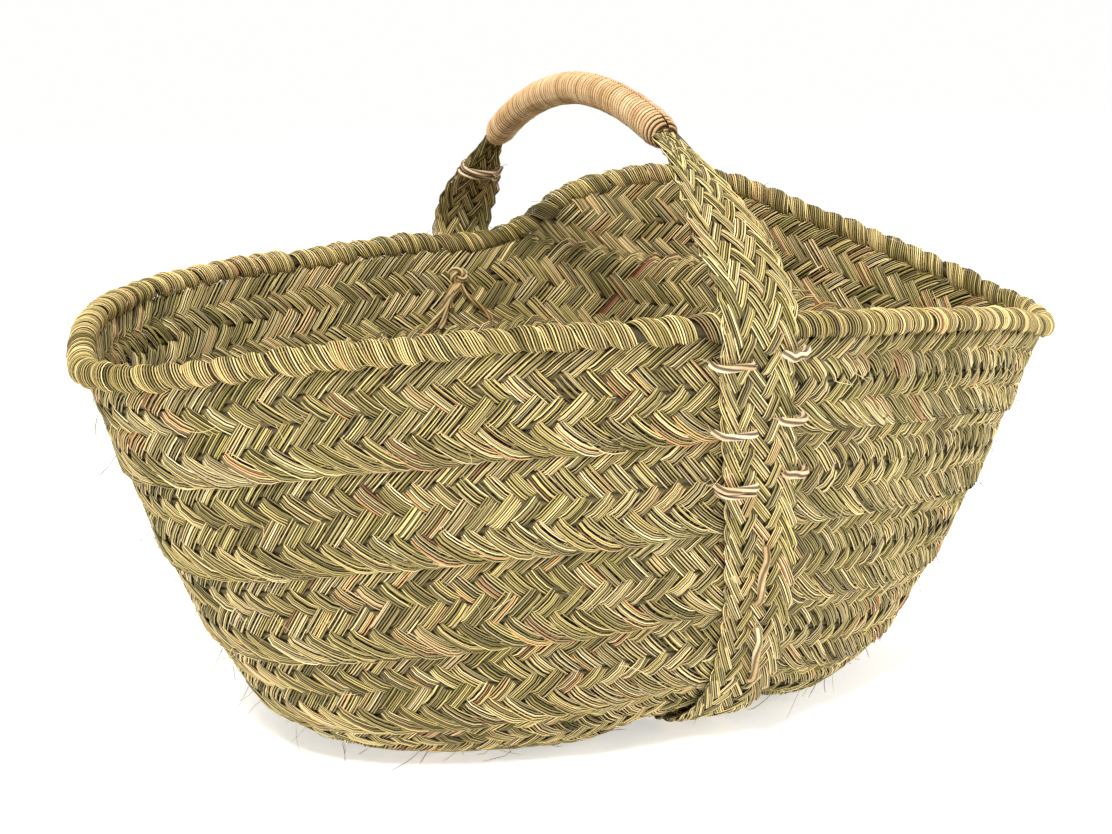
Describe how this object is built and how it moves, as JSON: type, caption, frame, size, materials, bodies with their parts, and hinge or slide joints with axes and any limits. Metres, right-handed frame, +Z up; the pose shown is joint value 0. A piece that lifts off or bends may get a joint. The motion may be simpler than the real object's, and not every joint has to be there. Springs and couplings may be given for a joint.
{
  "type": "storage basket",
  "caption": "Boat-shaped plaited grass storage basket with a rolled rim and one broad plaited strap that runs under the base and arches over as a cord-wound handle",
  "frame": {"origin": "the middle of the strap's underside where the basket rests on the floor", "axes": "+X along the length towards the pointed end, +Y from the near wall to the far wall across the handle, +Z up"},
  "size_m": [0.6981, 0.4794, 0.4248],
  "materials": {
    "plait": "dry plaited grass, matt",
    "rim": "dry grass bundles, matt",
    "strap": "dry plaited grass, matt",
    "sewing": "thin twisted grass cord",
    "cord": "pale twisted cord, matt"
  },
  "bodies": {
    "basket": {"plait_turn_1": "plait", "plait_turn_2": "plait", "plait_turn_3": "plait", "plait_turn_4": "plait", "plait_turn_5": "plait", "plait_turn_6": "plait", "plait_turn_7": "plait", "seam_cord": "sewing", "rim_core": "plait", "rim_whipping": "rim", "strap_sewn": "strap", "stitches_near": "cord", "stitches_far": "cord", "strap_lacing": "cord", "knot_inside": "cord", "knot_tails": "cord"},
    "handle": {"strap_arch": "strap", "grip_winding": "cord", "grip_tie": "cord"}
  },
  "joints": [
    {"name": "handle_lean", "type": "hinge", "parent": "basket", "child": "handle", "pos_m": [0.00536, -0.00752, 0.32994], "axis": [-0.0133, 0.9999, 0.009], "range_deg": [-25, 25], "stiffness_Nm_per_rad": 1}
  ]
}
